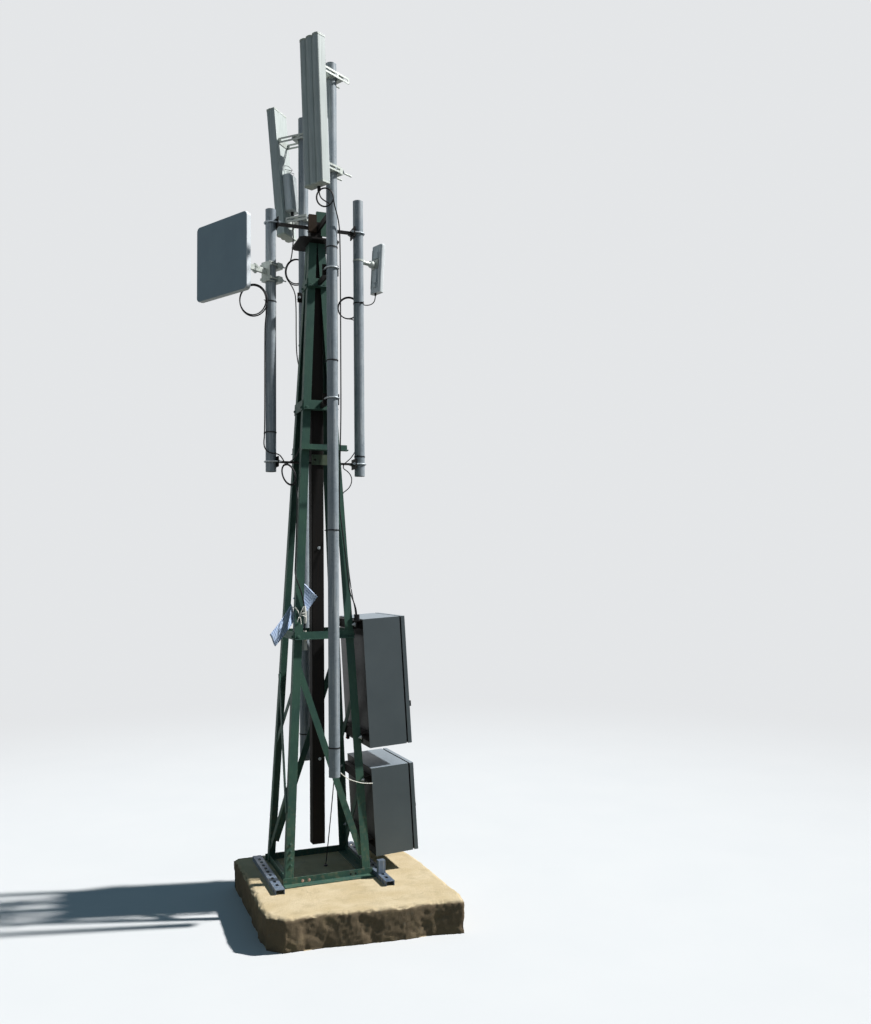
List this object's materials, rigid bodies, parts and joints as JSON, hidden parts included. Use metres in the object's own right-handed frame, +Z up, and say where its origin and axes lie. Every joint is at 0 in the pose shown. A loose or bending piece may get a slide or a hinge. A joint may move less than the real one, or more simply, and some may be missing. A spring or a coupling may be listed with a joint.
{
  "type": "cell tower",
  "caption": "Small tapered lattice cell tower on a cast pad, with clamped antenna poles, sector antennas, a flat panel and cabinets with hinged doors.",
  "frame": {"origin": "on the mast's axis at the underside of the pad", "axes": "+Z up along the mast; -Y the front face; +X the side that carries the cabinets"},
  "size_m": [1.0346, 1.1045, 3.9935],
  "materials": {
    "concrete": "pale cast concrete, dusty, broken edge",
    "galvanised": "dull galvanised steel",
    "green_paint": "dark green satin paint, chipped at edges",
    "dark_paint": "near-black brown paint with rust",
    "rusty_iron": "rusty brown iron",
    "pole_steel": "galvanised steel tube",
    "radome": "pale grey weathered plastic",
    "dark_plastic": "mid grey end caps",
    "radio_shell": "pale grey housing",
    "bracket_metal": "cast and folded aluminium",
    "panel_plastic": "pale grey panel",
    "cabinet_paint": "grey powder coat",
    "seal_rubber": "black door seal",
    "lock_metal": "worn plated lock",
    "cable_jacket": "black cable jacket, dusty",
    "gland_plastic": "black glands and pale tape"
  },
  "bodies": {
    "mast": {"base_frame": "green_paint", "cabinet_rails": "galvanised", "cable_channels": "green_paint", "cable_glands": "gland_plastic", "central_post": "dark_paint", "concrete_pad": "concrete", "cross_arms": "dark_paint", "flat_panel": "panel_plastic", "front_bracing": "green_paint", "front_pole": "pole_steel", "front_sector_brackets": "bracket_metal", "front_sector_cable": "cable_jacket", "front_sector_caps": "dark_plastic", "front_sector_coil": "cable_jacket", "front_sector_radio": "radio_shell", "front_sector_radome": "radome", "ground_struts": "galvanised", "head_cap": "green_paint", "head_plate": "dark_paint", "hinge_pins": "galvanised", "lead_hank": "cable_jacket", "left_bracing": "green_paint", "left_pole": "pole_steel", "leg_front_left": "green_paint", "leg_front_right": "green_paint", "leg_lead": "cable_jacket", "leg_rear_left": "green_paint", "leg_rear_right": "green_paint", "lower_cabinet_body": "cabinet_paint", "lower_door_gasket": "seal_rubber", "mounting_plates": "galvanised", "packing_block": "rusty_iron", "panel_bracket": "bracket_metal", "panel_cable": "cable_jacket", "panel_coil": "cable_jacket", "radio_bracket": "bracket_metal", "radio_cable": "cable_jacket", "radio_coil": "cable_jacket", "rear_bracing": "green_paint", "rear_pole": "pole_steel", "rear_sector_brackets": "bracket_metal", "rear_sector_cable": "cable_jacket", "rear_sector_caps": "dark_plastic", "rear_sector_coil": "cable_jacket", "rear_sector_radio": "radio_shell", "rear_sector_radome": "radome", "right_bracing": "green_paint", "right_pole": "pole_steel", "side_plate": "green_paint", "small_leads": "cable_jacket", "small_radio": "radio_shell", "stand_off_arms": "dark_paint", "tie_plate": "dark_paint", "u_bolts": "galvanised", "upper_cabinet_body": "cabinet_paint", "upper_door_gasket": "seal_rubber"},
    "upper_door": {"upper_cabinet_door": "cabinet_paint", "upper_door_lock": "lock_metal"},
    "lower_door": {"lower_cabinet_door": "cabinet_paint", "lower_door_lock": "lock_metal"}
  },
  "joints": [
    {"name": "upper_door_hinge", "type": "hinge", "parent": "mast", "child": "upper_door", "pos_m": [0.37151, 0.209, 1.02252], "axis": [-0.0535, 0, 0.9986], "range_deg": [0, 110]},
    {"name": "lower_door_hinge", "type": "hinge", "parent": "mast", "child": "lower_door", "pos_m": [0.4034, 0.209, 0.42767], "axis": [-0.0535, 0, 0.9986], "range_deg": [0, 110]}
  ]
}
